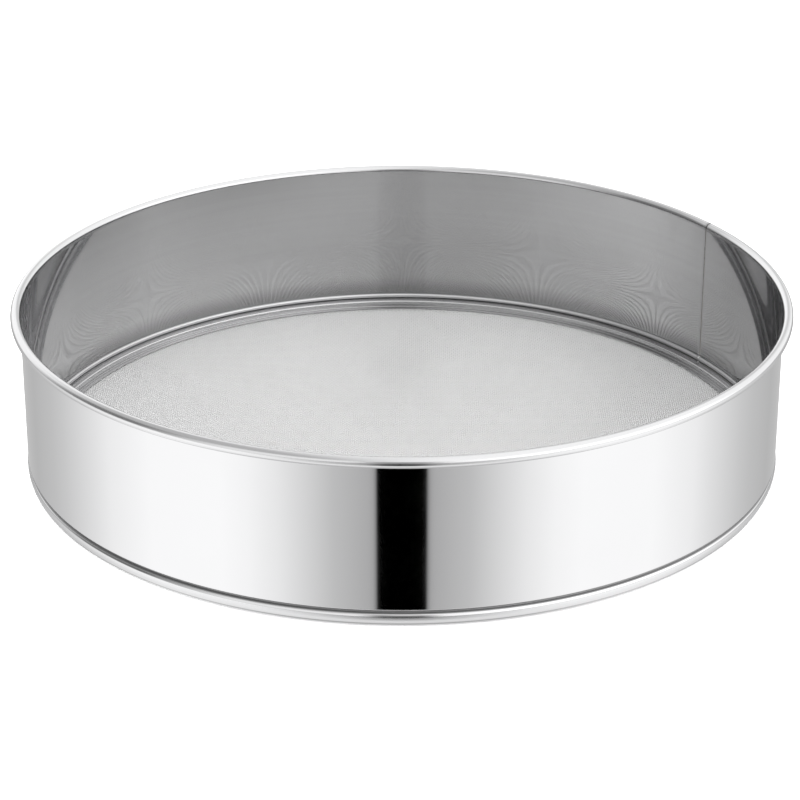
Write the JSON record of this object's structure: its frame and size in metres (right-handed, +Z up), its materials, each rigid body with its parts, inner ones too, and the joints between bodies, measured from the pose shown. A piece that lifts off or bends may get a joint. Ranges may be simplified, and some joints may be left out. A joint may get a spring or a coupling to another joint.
{
  "type": "soil sieve",
  "caption": "Round drum sieve: polished steel hoop with a wired rim and a rolled groove, and fine woven wire cloth clamped between dished rings at its foot.",
  "frame": {"origin": "middle of the circle that the foot stands on", "axes": "+Z up along the hoop's axis, from the foot to the rim; -Y is the front, and the hoop's seam is 31 degrees round from +X towards +Y"},
  "size_m": [0.3, 0.3, 0.066],
  "materials": {
    "polished_steel": "mirror polished stainless steel",
    "weld_steel": "dressed weld, slightly dull",
    "wire_steel": "bright drawn wire",
    "ring_steel": "pressed stainless steel with fine turned lines",
    "mesh_steel": "bright woven stainless steel wire"
  },
  "bodies": {
    "root": {"hoop": "polished_steel", "seam_weld": "weld_steel", "rim_wire": "wire_steel", "upper_clamp_ring": "ring_steel", "lower_clamp_ring": "ring_steel", "mesh_cloth": "mesh_steel"}
  },
  "joints": []
}
